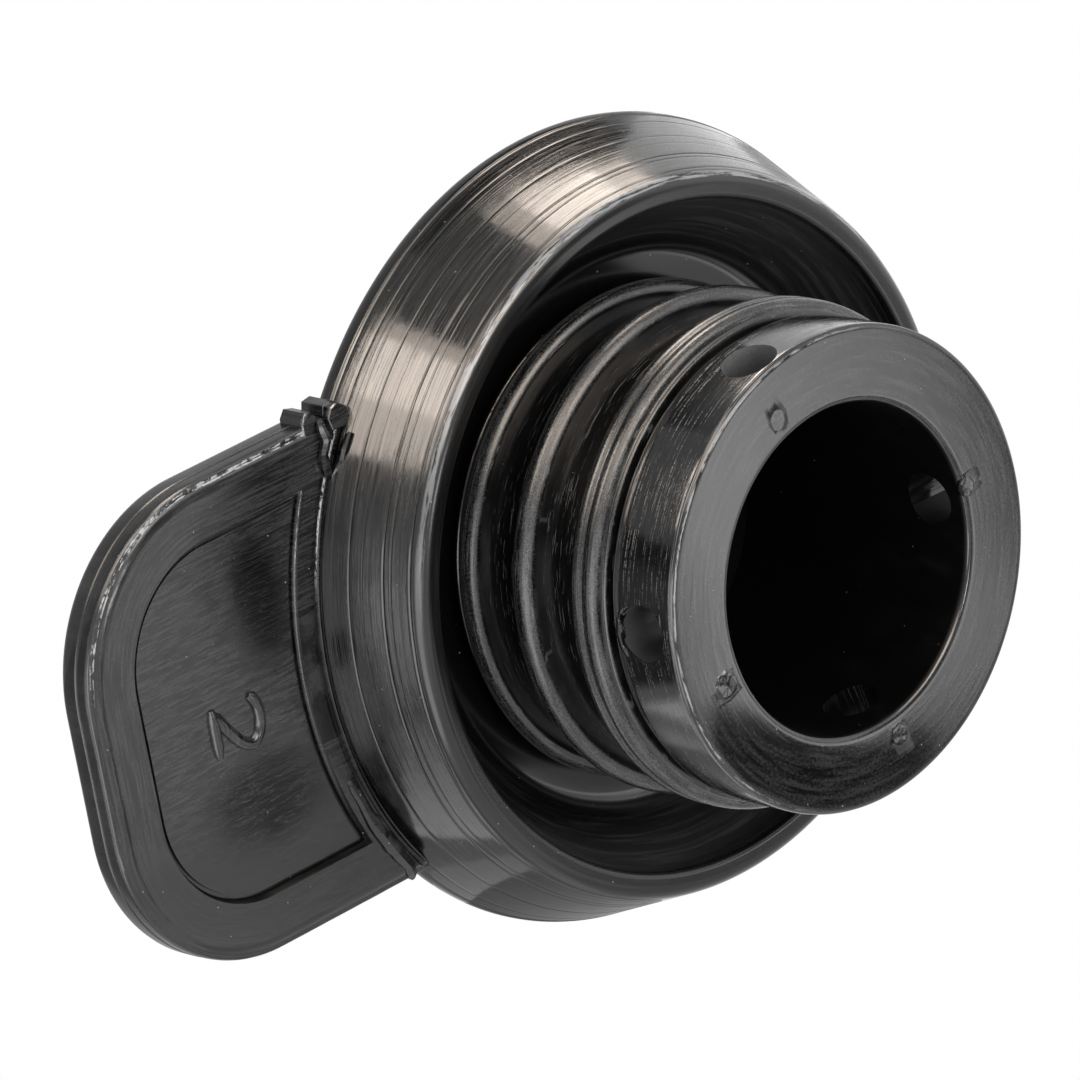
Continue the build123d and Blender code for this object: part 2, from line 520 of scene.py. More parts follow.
def tip_section():
    """Collar, tip face and bore."""
    round_centre = (COLLAR_RADIUS - COLLAR_ROUND, COLLAR_START + COLLAR_ROUND)
    section = arc(round_centre, COLLAR_ROUND, -90, 0, 5)
    section += [(COLLAR_RADIUS, z) for z in COLLAR_RINGS]
    section += arc((COLLAR_RADIUS - TIP_ROUND, TIP_HEIGHT - TIP_ROUND), TIP_ROUND, 0, 90, 6)
    mouth = BORE_RADIUS + MOUTH_ROUND
    section += [(radius, TIP_HEIGHT) for radius in (*TIP_RINGS, mouth + 0.15)]
    section += arc((mouth, TIP_HEIGHT - MOUTH_ROUND), MOUTH_ROUND, 90, 180, 7)
    section += [(BORE_RADIUS, z) for z in BORE_RINGS]
    return section + [(BORE_RADIUS, BORE_FLOOR), (BORE_FLOOR_RING, BORE_FLOOR)]


def turned_section():
    """Section from the middle of the back round to the bore floor: radius, height, cut, turned."""
    after = lip_section() + trough_section() + neck_section() + tip_section()
    section = [(r, z, 0.0, False) for r, z in back_section()]
    section += [(WALL_BASE_RADIUS - WALL_SLOPE * z, z, cut, True) for z, cut in skirt_wall()]
    return section + [(r, z, 0.0, False) for r, z in after]


def turn_head_and_plug():
    """Turns the section round the axis. The skirt's lines drift and change in depth."""
    section = turned_section()
    line_heights = [WALL_START] + [line[0] for line in TURNED_LINES] + [LIP_ROUND_CENTRE[1] + 0.34]
    still = np.zeros(AROUND)
    drift = [wander(11 + i, LINE_WANDER) for i in range(len(TURNED_LINES))]
    drift = np.array([still, *drift, still])
    strength = np.array([1 + wander(41 + i, LINE_SWELL) for i in range(len(line_heights))])
    bands = np.array([wander(71 + i, WALL_WAVE) for i in range(len(line_heights))])
    points = [(0.0, 0.0, 0.0)]
    turn = np.linspace(0, 2 * math.pi, AROUND, endpoint=False)
    for radius, height, cut, turned in section:
        radii = np.full(AROUND, float(radius))
        heights = np.full(AROUND, float(height))
        if turned:
            wavy = WAVY_HEIGHTS[0] < height < WAVY_HEIGHTS[1]
            for j in range(AROUND):
                heights[j] += np.interp(height, line_heights, drift[:, j])
                depth = cut * max(0.15, np.interp(height, line_heights, strength[:, j]))
                radii[j] = WALL_BASE_RADIUS - WALL_SLOPE * heights[j] - depth
                radii[j] += np.interp(height, line_heights, bands[:, j]) if wavy else 0.0
        points += [(r * math.cos(a), r * math.sin(a), z) for r, a, z in zip(radii, turn, heights)]
    points.append((0.0, 0.0, BORE_FLOOR))
    return mesh_piece("filler_cap", points, turned_faces(len(section), len(points)))


def turned_faces(rings, count):
    """Faces between the rings, with a fan at both ends."""
    faces = []
    for i in range(rings - 1):
        low, high = 1 + i * AROUND, 1 + (i + 1) * AROUND
        for j in range(AROUND):
            k = (j + 1) % AROUND
            faces.append((low + j, low + k, high + k, high + j))
    last = 1 + (rings - 1) * AROUND
    for j in range(AROUND):
        k = (j + 1) % AROUND
        faces.append((0, 1 + k, 1 + j))
        faces.append((count - 1, last + j, last + k))
    return faces


def port_cutter(name, near, far):
    """A rod that cuts two opposite ports, from the near mouth to the far one in the bore."""
    ends = []
    for (azimuth, height), radius in ((near, COLLAR_RADIUS), (far, BORE_RADIUS)):
        turn = math.radians(azimuth)
        ends.append(Vector((radius * math.cos(turn), radius * math.sin(turn), height)))
    along = (ends[1] - ends[0]).normalized()
    across = along.cross(Vector((0, 0, 1))).normalized()
    rise = across.cross(along)
    outside, inside = PORT_OVERSHOOT
    loops = []
    for middle in (ends[0] - along * outside, ends[1] + along * inside):
        loop = []
        for k in range(48):
            turn = 2 * math.pi * k / 48
            spoke = across * math.cos(turn) + rise * math.sin(turn)
            loop.append(tuple(middle + PORT_RADIUS * spoke))
        loops.append(loop)
    return loft(name, loops)


def gate_mark(name, place, radius, height, seed):
    """A gate mark on the tip face: a low torn disc."""
    random = np.random.RandomState(seed)
    edge = 1 + 0.07 * random.uniform(-1, 1, 24)
    loops = []
    for share, rise in GATE_RINGS:
        loop = []
        for k in range(24):
            a = 2 * math.pi * k / 24
            r = radius * share * edge[k]
            rough = 0.35 * random.uniform(-1, 1) if rise > 0.4 else 0.0
            top = TIP_HEIGHT + height * (rise + rough)
            loop.append((place[0] + r * math.cos(a), place[1] + r * math.sin(a), top))
        loops.append(loop)
    return loft(name, loops)


# Grip tab


def tab_outline():
    """Points along the tab's two sides and round end, in even steps."""
    corner = TAB_CORNER_ROUND
    centre = TAB_REACH - corner
    flank = TAB_HALF_WIDTH - corner
    straight = max(2, int((centre - TAB_ROOT) / TAB_STEP))
    turn = max(4, int(corner * math.pi / 2 / TAB_STEP))
    front = max(2, int(2 * flank / TAB_STEP))
    line = [(x, -TAB_HALF_WIDTH) for x in np.linspace(TAB_ROOT, centre, straight + 1)[:-1]]
    line += arc((centre, -flank), corner, -90, 0, turn)
    line += [(TAB_REACH, y) for y in np.linspace(-flank, flank, front + 1)[1:-1]]
    line += arc((centre, flank), corner, 0, 90, turn)
    return line + [(x, TAB_HALF_WIDTH) for x in np.linspace(centre, TAB_ROOT, straight + 1)[1:]]


def drawn_in(outline, inset):
    """The tab's outline drawn in by an inset, with as many points at every inset."""
    centre = (TAB_REACH - TAB_CORNER_ROUND, TAB_HALF_WIDTH - TAB_CORNER_ROUND)
    line = []
    for x, y in outline:
        side = math.copysign(1, y)
        dx, dy = max(0.0, x - centre[0]), max(0.0, abs(y) - centre[1])
        length = math.hypot(dx, dy) or 1.0
        line.append((x - inset * dx / length, y - side * inset * dy / length))
    return line


def tab_loops():
    """Loops round the tab's edge, a little ragged at its arris."""
    outline = tab_outline()
    loops = []
    for i, (inset, height) in enumerate(TAB_EDGE):
        line = drawn_in(outline, inset)
        ragged = RAGGED if RAGGED_HEIGHTS[0] < height < RAGGED_HEIGHTS[1] else 0.0
        shake = np.random.RandomState(300 + i).uniform(-1, 1, len(line))
        shake = 0.25 * np.roll(shake, 1) + 0.5 * shake + 0.25 * np.roll(shake, -1)
        rise = max(TAB_UNDERSIDE, height)
        loops.append([(x, y, rise + ragged * s) for (x, y), s in zip(line, shake)])
    return loops


def panel_cutter():
    """Solid that sinks the panel. Three sides follow the tab's edge, and the fourth the skirt."""
    loops = []
    for inset, height in PANEL_WALL:
        half = TAB_HALF_WIDTH - PANEL_RIM - inset
        radius = PANEL_ROOT_RADIUS + max(inset, 0.02)
        root = math.sqrt(radius**2 - half**2)
        corner = PANEL_CORNER_ROUND - inset
        reach = TAB_REACH - PANEL_RIM - inset
        line = [(x, -half) for x in np.linspace(root, reach - corner, 21)[:-1]]
        line += arc((reach - corner, corner - half), corner, -90, 0, 30)
        line += [(reach, y) for y in np.linspace(corner - half, half - corner, 17)[1:-1]]
        line += arc((reach - corner, half - corner), corner, 0, 90, 30)
        line += [(x, half) for x in np.linspace(reach - corner, root, 21)[1:]]
        spread = math.degrees(math.asin(half / radius))
        line += arc((0, 0), radius, spread, -spread, 56)[1:-1]
        loops.append([(x, y, height) for x, y in line])
    return loft("panel_cutter", loops)


def ring_arc(name, radius, height, size, spread, flatness):
    """A rod bent round the axis over the tab's root."""
    loops = []
    for a in np.radians(np.linspace(-spread, spread, 97)):
        section = arc((radius, 0), size, 0, 360, 12)[:-1]
        ring = [(r * math.cos(a), r * math.sin(a), height + z * flatness) for r, z in section]
        loops.append(ring)
    return loft(name, loops)


def stroke(path, width, height):
    """A raised half-round stroke along a path on the panel's floor."""

    def section(i):
        size = 0.55 if i in (0, len(path) - 1) else 1.0
        turns = [2 * math.pi * k / 14 for k in range(14)]
        return [(width / 2 * size * math.cos(a), height * size * math.sin(a)) for a in turns]

    return tube("cavity_number", path, section)


def cavity_number():
    """Paths of a plain moulded 2, whose top points to the plug: its curve and its foot."""
    bow = [(0.5 + (u - 0.5) * 1.7, v) for u, v in arc((0.5, 0.72), 0.28, 160, 0, 9)]
    tail = [(0.93, 0.62), (0.84, 0.5), (0.66, 0.36), (0.44, 0.22), (0.2, 0.08), (0.08, 0.01)]
    foot = [(u, 0.0) for u in (0.0, 0.25, 0.5, 0.75, 0.97)]
    x, y = NUMBER_CENTRE
    paths = []
    for part in (bow + tail, foot):
        shifts = [(NUMBER_LENGTH * (0.5 - v), NUMBER_WIDTH * (u - 0.5)) for u, v in part]
        paths.append([(x + dx, y + dy, PANEL_FLOOR) for dx, dy in shifts])
    return paths


def flash(name, seed, spine):
    """A torn ridge of flash along a spine, uneven in width and height."""
    random = np.random.RandomState(seed)
    path = []
    for a, b in zip(spine, spine[1:]):
        steps = max(2, int(math.dist(a[:3], b[:3]) / FLASH_STEP))
        for t in np.linspace(0, 1, steps, endpoint=False):
            path.append([p + (q - p) * t for p, q in zip(a, b)])
    path.append(list(spine[-1]))

    def section(i):
        wide, tall = path[i][3:]
        taper = 0.45 if i in (0, len(path) - 1) else 1.0
        swell = 1 + 0.12 * random.uniform(-1, 1)
        offsets = []
        for k in range(FLASH_SIDES):
            a = 2 * math.pi * k / FLASH_SIDES
            reach = taper * swell * (1 + 0.10 * random.uniform(-1, 1))
            offsets.append((wide * reach * math.cos(a), tall * reach * math.sin(a)))
        return offsets

    return tube(name, path, section)


def torn_block(name, high, outline):
    """A torn lump at the tab's corner, with a tilted top and a broken upper edge."""
    middle = [sum(p[k] for p in outline) / len(outline) for k in (0, 1)]
    loops = []
    for share, height in ((1.0, TORN_FOOT), (1.0, high - 0.35), (0.93, high - 0.1), (0.8, high)):
        loop = []
        for i, (x, y) in enumerate(outline):
            tilt = 0.12 * math.sin(2.4 * i + 0.5) if height > TORN_FOOT else 0.0
            drawn = [m + share * (p - m) for m, p in zip(middle, (x, y))]
            loop.append((*drawn, height + tilt))
        loops.append(loop)
    return loft(name, loops)


def build_tab():
    """Tab with its panel, groove, ridge and number."""
    tab = loft("tab", tab_loops(), closed=False)
    combine(tab, panel_cutter(), "DIFFERENCE")
    combine(tab, ring_arc("root_groove", *ROOT_GROOVE), "DIFFERENCE")
    combine(tab, ring_arc("root_ridge", *ROOT_RIDGE), "UNION")
    for path in cavity_number():
        combine(tab, stroke(path, *NUMBER_STROKE), "UNION")
    return tab


def build_cap():
    """The whole cap as one closed mesh."""
    cap = turn_head_and_plug()
    for i, (near, far) in enumerate(PORTS):
        combine(cap, port_cutter(f"port_{i}", near, far), "DIFFERENCE")
    combine(cap, build_tab(), "UNION")
    for mark in GATE_MARKS:
        combine(cap, gate_mark(*mark), "UNION")
    for i, block in enumerate(TORN_BLOCKS):
        combine(cap, torn_block(f"torn_block_{i}", *block), "UNION")
    for ridge in FLASH:
        combine(cap, flash(*ridge), "UNION")
    return cap


# Finishes


class Wire:
    """A shader value. Arithmetic on it adds Math nodes to its tree."""

    def __init__(self, nodes, socket):
        self.nodes, self.socket = nodes, socket

    def math(self, operation, *others):
        values = dict(enumerate([self, *others]))
        return self.nodes.node("ShaderNodeMath", {"operation": operation}, values)

    def __add__(self, other):
        return self.math("ADD", other)

    __radd__ = __add__

    def __mul__(self, other):
        return self.math("MULTIPLY", other)

    __rmul__ = __mul__

    def __sub__(self, other):
        return self.math("SUBTRACT", other)

    def __rsub__(self, other):
        return self.nodes.node("ShaderNodeMath", {"operation": "SUBTRACT"}, {0: other, 1: self})

    def __truediv__(self, other):
        return self.math("DIVIDE", other)

    def __pow__(self, other):
        return self.math("POWER", other)


class Nodes:
    """The nodes of one finish. One method adds any node."""

    def __init__(self, tree):
        self.tree = tree
        tree.nodes.clear()

    def node(self, kind, settings=None, inputs=None, output=0):
        """Adds a node, makes its settings, then fills its sockets with values or wires."""
        made = self.tree.nodes.new(kind)
        for name, value in (settings or {}).items():
            setattr(made, name, value)
        for name, value in (inputs or {}).items():
            if isinstance(value, Wire):
                self.tree.links.new(value.socket, made.inputs[name])
            else:
                made.inputs[name].default_value = value
        return Wire(self, made.outputs[output]) if made.outputs else None

    def position(self):
        """The place on the cap in millimetres, as a vector and as its three parts."""
        place = self.node("ShaderNodeTexCoord", output="Object")
        scale = {0: place, "Scale": 1 / MM}
        place = self.node("ShaderNodeVectorMath", {"operation": "SCALE"}, scale)
        split = self.tree.nodes.new("ShaderNodeSeparateXYZ")
        self.tree.links.new(place.socket, split.inputs[0])
        return place, [Wire(self, out) for out in split.outputs]

    def turned_position(self):
        """The place in millimetres, the cosine and sine of its azimuth, its height and radius."""
        place, (x, y, z) = self.position()
        radius = (x * x + y * y) ** 0.5
        return place, x / radius, y / radius, z, radius

    def vector(self, x, y, z):
        return self.node("ShaderNodeCombineXYZ", inputs={0: x, 1: y, 2: z})

    def noise(self, vector, scale, detail=2.0, roughness=0.5):
        values = {"Vector": vector, "Scale": scale, "Detail": detail, "Roughness": roughness}
        return self.node("ShaderNodeTexNoise", inputs=values)

    def streaks(self, x, y, z, detail, roughness=0.5):
        """Noise stretched by the shares that its three parts are given in."""
        return self.noise(self.vector(x, y, z), 1.0, detail, roughness)

    def step(self, value, low, high):
        """0 below low, 1 above high, smooth between."""
        values = {"Value": value, "From Min": low, "From Max": high}
        return self.node("ShaderNodeMapRange", {"interpolation_type": "SMOOTHSTEP"}, values)

    def crease(self, value, half_width, middle=0.5):
        """1 where the value crosses its middle, 0 past the half width: a thin wandering line."""
        return 1 - self.step((value - middle).math("ABSOLUTE"), half_width * 0.3, half_width)

    def lines(self, height, rows):
        """The strength of the nearest of the lines, given by height and strength."""
        marks = [self.crease(height, SKIRT_LINE_WIDTH, middle) * share for middle, share in rows]
        total = marks[0]
        for mark in marks[1:]:
            total = total.math("MAXIMUM", mark)
        return total

    def patch(self, x, y, wobble, centre, halves):
        """1 in an oval patch with a wandering edge."""
        shares = [((value - c) / h) ** 2.0 for value, c, h in zip((x, y), centre, halves)]
        return 1 - self.step((shares[0] + shares[1]) ** 0.5 + wobble * 0.12, 0.55, 1.25)

    def specks(self, scale, size):
        """1 on scattered specks of dust."""
        place, _ = self.position()
        distance = self.node("ShaderNodeTexVoronoi", inputs={"Vector": place, "Scale": scale})
        return 1 - self.step(distance, size * 0.6, size)

    def mix_colour(self, share, first, second):
        settings = {"data_type": "RGBA"}
        return self.node("ShaderNodeMix", settings, {0: share, 6: first, 7: second}, output=2)


def new_material(name):
    """An empty node material and its nodes."""
    material = bpy.data.materials.new(name)
    material.use_nodes = True
    return material, Nodes(material.node_tree)


def grey(level):
    return (level, level, level * 1.02, 1.0)


def rubber(name, surface, gloss):
    """A black rubber with dust. The surface gives scuff and painted shade, wear and painted light,
    roughness and relief.
    """
    material, nodes = new_material(name)
    scuff_and_painted_shade, wear_and_painted_light, roughness, relief = surface(nodes)
    dust = nodes.specks(0.85, 0.05)
    # Scuff, cut back in places as painted shade, then wear, which in places is painted light or a
    # painted highlight, then dust
    colour = nodes.mix_colour(scuff_and_painted_shade, grey(CLEAN), grey(SCUFFED))
    colour = nodes.mix_colour(wear_and_painted_light, colour, grey(WORN_AND_PAINTED_LIGHT_GREY))
    colour = nodes.mix_colour(dust * 0.6, colour, grey(DUST))
    bump = {"Strength": 1.0, "Distance": MM, "Height": relief + dust * 0.01}
    look = {
        "Base Color": colour,
        "Roughness": roughness,
        "IOR": 1.5,
        "Specular IOR Level": gloss,
        "Normal": nodes.node("ShaderNodeBump", inputs=bump),
    }
    shader = nodes.node("ShaderNodeBsdfPrincipled", inputs=look)
    nodes.node("ShaderNodeOutputMaterial", inputs={"Surface": shader})
    return material


def turned_skirt(nodes):
    """Dark turned lines and hair lines all round the skirt, long streaks, and rubbed patches."""
    place, cos, sin, z, _ = nodes.turned_position()
    broad = nodes.streaks(cos * 4.0, sin * 4.0, z * 1.2, 2.0)
    streaks = nodes.streaks(cos * 3.5, sin * 3.5, z * 8.0, 4.0, 0.7)
    hairs = nodes.streaks(cos * 2.2, sin * 2.2, z * 11.0, 1.0)
    bright = nodes.streaks(cos * 2.5, sin * 2.5, z * 14.0, 2.0)
    grain = nodes.streaks(cos * 40.0, sin * 40.0, z * 6.0, 4.0, 0.7)
    grain_fine = nodes.noise(place, 9.0, 3.0, 0.7)
    patches = nodes.noise(place, 0.45, 3.0, 0.6)
    smooth_side = nodes.step(sin, 0.05, 0.5)
    lines = nodes.lines(z + (broad - 0.5) * 0.14, SKIRT_LINES)
    lines = lines * nodes.step(streaks, 0.32, 0.52) * (1 - smooth_side * 0.8)
    hair = nodes.crease(hairs, 0.03) * (1 - smooth_side * 0.9)
    torn_side = nodes.step(cos * TORN_SIDE[0] + sin * TORN_SIDE[1], 0.982, 0.997)
    scraped = torn_side * nodes.step(z, 5.2, 6.6) * nodes.step(grain, 0.4, 0.6)
    rubbed = (nodes.step(patches, 0.5, 0.62) * 0.6).math("MAXIMUM", scraped)
    relief = streaks * (0.0048 - smooth_side * 0.0030) - lines * 0.009 - hair * 0.0016
    relief = relief + grain * (0.0003 + rubbed * 0.0040)
    roughness = 0.05 + streaks * 0.06 + nodes.step(bright, 0.52, 0.7) * 0.16
    roughness = roughness + lines * 0.25 + rubbed * 0.12
    scuff_and_painted_shade = nodes.step(streaks * 0.6 + broad * 0.4, 0.5, 0.75) * 0.5
    return scuff_and_painted_shade, rubbed * nodes.step(grain_fine, 0.66, 0.74) * 0.06, roughness, relief


def lip_surface(nodes):
    """Dull lip with a light line along its outer round on one side: a painted highlight, partly
    wear.
    """
    _, cos, sin, z, radius = nodes.turned_position()
    streaks = nodes.streaks(cos * 5.0, sin * 5.0, radius * 6.0, 4.0, 0.7)
    rub = nodes.streaks(cos * 9.0, sin * 9.0, radius * 9.0, 3.0, 0.7)
    # Painted highlight, partly wear: a light line on the lip's outer round, on the -y side only
    crest = nodes.crease(radius + z + (streaks - 0.5) * 0.1, 0.07, 31.22)
    wear_and_painted_light = crest * nodes.step(rub, 0.4, 0.52) * nodes.step(-1.0 * sin, 0.1, 0.7)
    relief = streaks * 0.003 + rub * 0.002
    return nodes.step(streaks, 0.45, 0.75) * 0.3, wear_and_painted_light * 0.45, 0.16 + streaks * 0.10, relief


def trough_surface(nodes):
    """Smooth floor under a duller wall with faint turned lines, paler on one side."""
    _, cos, sin, z, _ = nodes.turned_position()
    streaks = nodes.streaks(cos * 2.5, sin * 2.5, z * 3.5, 3.0, 0.6)
    wall = nodes.step(z, 3.65, 4.6)
    paler_side = wall * nodes.step(sin * -1.0, 0.4, 0.9) * (0.012 + streaks * 0.01)
    scuff_and_painted_shade = nodes.step(streaks, 0.45, 0.75) * wall
    return scuff_and_painted_shade, paler_side, 0.17 + wall * 0.13, streaks * wall * 0.006


def plug_surface(nodes):
    """Satin ribs and neck, with short light rubs that run round the plug."""
    place, cos, sin, z, radius = nodes.turned_position()
    rubs = nodes.streaks(cos * 5.0, sin * 5.0, z * 9.0, 4.0, 0.7)
    dashes = nodes.streaks(cos * 6.0, sin * 6.0, z * 13.0, 3.0, 0.6)
    grain = nodes.noise(place, 8.0, 4.0, 0.7)
    crest = nodes.step(radius, 14.7, 15.3)
    dash = nodes.step(dashes, 0.61, 0.67)
    rub = nodes.step(grain * 0.5 + rubs * 0.5, 0.44, 0.60)
    relief = rubs * 0.004 + grain * (0.001 + crest * 0.011) + dash * 0.008
    roughness = 0.15 + grain * 0.08 + crest * 0.06
    return nodes.step(rubs, 0.42, 0.75) * 0.7, dash * 0.12 + crest * rub * 0.10, roughness, relief


def highlight_and_wear_side(nodes, cos, sin):
    """1 on the side of the collar whose edges get a painted highlight, partly wear."""
    return nodes.step(cos * HIGHLIGHT_AND_WEAR_SIDE[0] + sin * HIGHLIGHT_AND_WEAR_SIDE[1], -0.2, 0.7)


def collar_surface(nodes):
    """Collar with streaks and broken light dashes round it, and a light edge at the tip on one
    side: a painted highlight, partly wear.
    """
    place, cos, sin, z, _ = nodes.turned_position()
    streaks = nodes.streaks(cos * 4.0, sin * 4.0, z * 7.0, 4.0, 0.7)
    dashes = nodes.streaks(cos * 4.0, sin * 4.0, z * 12.0, 3.0, 0.65)
    grain = nodes.noise(place, 6.0, 4.0, 0.7)
    dash = nodes.step(dashes, 0.58, 0.66) * nodes.step(grain, 0.42, 0.56)
    # Painted highlight, partly wear: a light band at the collar's top edge, on one side only
    edge = nodes.step(z, 22.42, 22.55) * nodes.step(dashes, 0.46, 0.54)
    edge = edge * highlight_and_wear_side(nodes, cos, sin)
    relief = streaks * 0.005 + dash * 0.008 + grain * 0.0004
    roughness = 0.05 + streaks * 0.07 + edge * 0.15
    return nodes.step(streaks, 0.4, 0.7) * 0.6, dash * 0.34 + edge * 0.25, roughness, relief


def tip_surface(nodes):
    """Evenly satin tip face with fine scratches round it and a light outer edge on one side: a
    painted highlight, partly wear.
    """
    place, cos, sin, _, radius = nodes.turned_position()
    turned = nodes.streaks(cos * 3.0, sin * 3.0, radius * 3.0, 4.0, 0.65)
    rub = nodes.streaks(cos * 9.0, sin * 9.0, radius * 4.0, 3.0, 0.7)
    grain = nodes.noise(place, 5.0, 4.0, 0.6)
    # Painted highlight, partly wear: a light line round the face's outer edge, on one side only
    edge = nodes.crease(radius + (rub - 0.5) * 0.2, 0.09, 14.78)
    edge = edge * nodes.step(rub, 0.42, 0.54) * highlight_and_wear_side(nodes, cos, sin)
    relief = turned * 0.0035 + grain * 0.0015
    scuff_and_painted_shade = nodes.step(turned * 0.6 + grain * 0.4, 0.42, 0.62)
    return scuff_and_painted_shade, edge * 0.40, 0.11 + grain * 0.06 + edge * 0.2, relief


def bore_surface(nodes):
    """Dull dark bore with faint smears down its wall."""
    _, cos, sin, z, _ = nodes.turned_position()
    smears = nodes.streaks(cos * 6.0, sin * 6.0, z * 0.25, 3.0, 0.6)
    light = nodes.step(smears, 0.55, 0.75) * nodes.step(z, 12.0, 21.0)
    return 0.0, light * 0.006, 0.30 + smears * 0.2, smears * 0.02


def port_surface_painted_light(nodes):
    """Dull wall of the ports, made pale as painted light, paler in the one at the side."""
    place, (x, _, _) = nodes.position()
    grain = nodes.noise(place, 4.0, 3.0, 0.6)
    # Painted light: a pale wall inside the ports, where the black rubber would look dark
    return 1.0, (0.16 + grain * 0.2) * (1 - nodes.step(x, 6.0, 9.0) * 0.75), 0.4, grain * 0.004


def tab_surface(nodes):
    """Fine lines along the tab's edge; a painted highlight, partly wear, on the arris at -y;
    painted shade towards +y.
    """
    place, (x, y, z) = nodes.position()
    side = y.math("ABSOLUTE") - (TAB_HALF_WIDTH - TAB_CORNER_ROUND)
    front = x - (TAB_REACH - TAB_CORNER_ROUND)
    side_out, front_out = side.math("MAXIMUM", 0.0), front.math("MAXIMUM", 0.0)
    inset = TAB_CORNER_ROUND - (side_out * side_out + front_out * front_out) ** 0.5
    lines = nodes.streaks(inset * 6.0, x * 0.3, y * 0.3, 4.0, 0.65)
    flecks = nodes.streaks(x * 1.2, y * 1.2, z * 12.0, 3.0, 0.7)
    grain = nodes.noise(place, 6.0, 4.0, 0.7)
    edge = 1 - nodes.step(z, 2.2, 2.45)
    # Painted highlight, partly wear: a flecked light line on the arris, at -y only
    arris = nodes.crease(z + (flecks - 0.5) * 0.08, 0.035, 2.42)
    arris = arris * nodes.step(y * -1.0, 4.0, 9.0) * nodes.step(flecks, 0.46, 0.54)
    flecked = edge * nodes.step(grain * 0.5 + flecks * 0.5, 0.58, 0.66) * 0.04
    relief = lines * (0.007 + edge * 0.01) + grain * (0.002 + edge * 0.01)
    roughness = 0.09 + lines * 0.10 + grain * 0.06 + edge * 0.05
    scuff_and_painted_shade = nodes.step(lines * 0.75 + grain * 0.25, 0.42, 0.60)
    # Painted shade: less scuff, so darker, towards +y
    scuff_and_painted_shade = scuff_and_painted_shade * (1 - nodes.step(y, 2.0, 9.0) * 0.7)
    return scuff_and_painted_shade, flecked.math("MAXIMUM", arris * 0.7), roughness, relief


def panel_surface(nodes):
    """Rubbed panel floor with fine lines along the tab, two dark polished patches, and painted
    shade towards +y.
    """
    place, (x, y, z) = nodes.position()
    lines = nodes.streaks(x * 0.5, y * 5.0, z, 4.0, 0.65)
    patches = nodes.streaks(x * 0.3, y * 0.5, 0.0, 4.0, 0.65)
    scratches = nodes.crease(nodes.streaks(x * 0.25, y * 3.0, 0.0, 2.0), 0.02)
    grain = nodes.noise(place, 8.0, 3.0, 0.6)
    wobble = (patches - 0.5) * 4.0 + (lines - 0.5) * 2.0
    upper = nodes.patch(x, y, wobble, *POLISHED_UPPER)
    lower = nodes.patch(x, y, wobble, *POLISHED_LOWER)
    polished = upper.math("MAXIMUM", lower) * (0.55 + nodes.step(lines, 0.35, 0.6) * 0.45)
    relief = lines * 0.003 * (1 - polished * 0.7) - scratches * 0.003 + grain * 0.001
    roughness = 0.13 + lines * 0.12 + grain * 0.04 - polished * 0.12
    scuff_and_painted_shade = nodes.step(lines * 0.75 + grain * 0.25, 0.40, 0.60) * (1 - polished)
    # Painted shade: less scuff, so darker, towards +y
    return scuff_and_painted_shade * (1 - nodes.step(y, 2.0, 9.0) * 0.85), 0.0, roughness, relief


# Each finish's surface and specular level
FINISHES = {
    "skirt_rubber": (turned_skirt, 0.5),
    "lip_rubber": (lip_surface, 0.42),
    "trough_rubber": (trough_surface, 0.5),
    "plug_rubber": (plug_surface, 0.5),
    "collar_rubber": (collar_surface, 0.5),
    "tip_rubber": (tip_surface, 0.5),
    "bore_rubber": (bore_surface, 0.12),
    "port_rubber_painted_light": (port_surface_painted_light, 0.2),
    "tab_rubber": (tab_surface, 0.5),
    "root_rubber": (tab_surface, 0.2),
    "panel_rubber": (panel_surface, 0.5),
}


def tab_zone(point, normal, radius):
    """Which finish a face of the tab has."""
    if radius < ROOT_RADIUS and point.z > 2.0 and abs(point.y) < ROOT_HALF_WIDTH:
        return "root_rubber"
    in_outline = radius > PANEL_ROOT_RADIUS and abs(point.y) < TAB_HALF_WIDTH - PANEL_RIM
    in_outline = in_outline and point.x < TAB_REACH - PANEL_RIM
    return "panel_rubber" if in_outline and point.z < 2.5 and normal.z > 0.9 else "tab_rubber"


def zone(point, normal):
    """Which finish a face of the cap has."""
    radius = math.hypot(point.x, point.y)
    wall_radius = WALL_BASE_RADIUS - WALL_SLOPE * point.z
    if point.z < TAB_CEILING and radius > wall_radius + 0.03 and point.x > 0:
        return tab_zone(point, normal, radius)
    if radius < BORE_RADIUS + 0.1 and point.z > BORE_FLOOR - 0.2:
        return "bore_rubber"
    in_mouth = radius < BORE_RADIUS + MOUTH_ROUND + 0.1 and point.z > TIP_HEIGHT - 0.5
    if point.z > TIP_HEIGHT - 0.2 or in_mouth:
        return "tip_rubber"
    if point.z > COLLAR_START and radius < COLLAR_RADIUS - 0.25:
        return "port_rubber_painted_light" if point.x > 0 and point.y < 8 else "bore_rubber"
    if point.z > COLLAR_START - 0.1:
        return "collar_rubber"
    if radius < 15.9 and point.z > TROUGH_FLOOR + 0.1:
        return "plug_rubber"
    if radius < LIP_INNER_RADIUS and point.z > TROUGH_FLOOR - 0.1:
        return "trough_rubber"
    if point.z > LIP_ROUND_CENTRE[1] + 0.36:
        return "lip_rubber"
    return "skirt_rubber"


